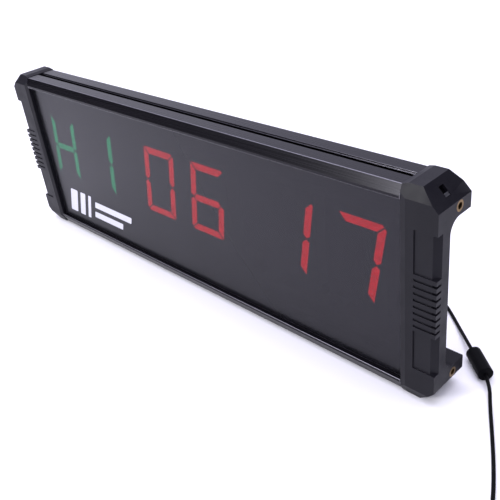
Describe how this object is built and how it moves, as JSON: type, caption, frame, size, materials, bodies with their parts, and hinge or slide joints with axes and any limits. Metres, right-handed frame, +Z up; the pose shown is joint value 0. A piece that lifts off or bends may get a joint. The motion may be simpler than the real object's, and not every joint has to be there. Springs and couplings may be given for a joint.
{
  "type": "gym round timer",
  "caption": "Long thin countdown clock with large slanted digits behind a smoked window, gripped end caps and a slim power lead.",
  "frame": {"origin": "on the surface that the unit stands on, at the middle of its width and depth", "axes": "+X to the right of someone facing the display, along the width; +Y from the display to the rear cover; +Z up"},
  "size_m": [0.678, 0.1791, 0.15],
  "materials": {
    "cap_plastic": "fine-textured charcoal ABS, satin",
    "rail_anodised": "charcoal anodised, fine lines along the length",
    "insert_brass": "turned brass",
    "screw_steel": "black zinc plated",
    "lens_acrylic": "smoked acrylic, satin front",
    "cover_paint": "powder-coated sheet, fine texture",
    "label_film": "silver polyester label",
    "board_laminate": "black solder mask",
    "component_black": "moulded epoxy and plastic",
    "cell_steel": "plated steel",
    "can_aluminium": "sleeved can with a bare top",
    "header_plastic": "natural nylon",
    "wire_rubber": "thin insulated wire",
    "knob_plastic": "moulded grey plastic",
    "lead_rubber": "satin PVC",
    "ferrite_plastic": "moulded black sleeve",
    "tie_fabric": "hook-and-loop strap",
    "adapter_plastic": "fine-textured black",
    "pin_nickel": "nickel plated",
    "digit_face": "dark printed face",
    "digit_guide": "diffusing resin"
  },
  "bodies": {
    "housing": {"adapter_boot": "lead_rubber", "adapter_pins": "pin_nickel", "battery_holder": "component_black", "board_screws": "screw_steel", "board_standoffs": "insert_brass", "bottom_rail": "rail_anodised", "buzzer": "component_black", "cable_tie": "tie_fabric", "cap_screws": "screw_steel", "clock_battery": "cell_steel", "dc_jack": "component_black", "dc_plug": "lead_rubber", "dc_plug_barrel": "cell_steel", "digit_1_housing": "digit_face", "digit_1_segments": "digit_guide", "digit_2_housing": "digit_face", "digit_2_segments": "digit_guide", "digit_3_housing": "digit_face", "digit_3_segments": "digit_guide", "digit_4_housing": "digit_face", "digit_4_segments": "digit_guide", "digit_5_housing": "digit_face", "digit_5_segments": "digit_guide", "digit_6_housing": "digit_face", "digit_6_segments": "digit_guide", "display_board": "board_laminate", "end_cap_left": "cap_plastic", "end_cap_right": "cap_plastic", "ferrite_core": "ferrite_plastic", "filter_capacitors": "can_aluminium", "front_lens": "lens_acrylic", "ir_receiver": "component_black", "jack_cable": "wire_rubber", "jack_header": "header_plastic", "jack_nut": "screw_steel", "lead_coil": "lead_rubber", "mains_adapter": "adapter_plastic", "microcontroller": "component_black", "power_inductor": "component_black", "power_lead": "lead_rubber", "power_lead_end": "lead_rubber", "rating_label": "label_film", "rear_cover": "cover_paint", "segment_drivers": "component_black", "side_inserts_left": "insert_brass", "side_inserts_right": "insert_brass", "switch_body": "screw_steel", "switch_cable": "wire_rubber", "switch_header": "header_plastic", "top_rail": "rail_anodised", "voltage_regulator": "component_black"},
    "knob": {"switch_knob": "knob_plastic"}
  },
  "joints": [
    {"name": "switch_slide", "type": "slide", "parent": "housing", "child": "knob", "axis": [-0.7071, 0, 0.7071], "range_m": [0, 0.0044]}
  ]
}
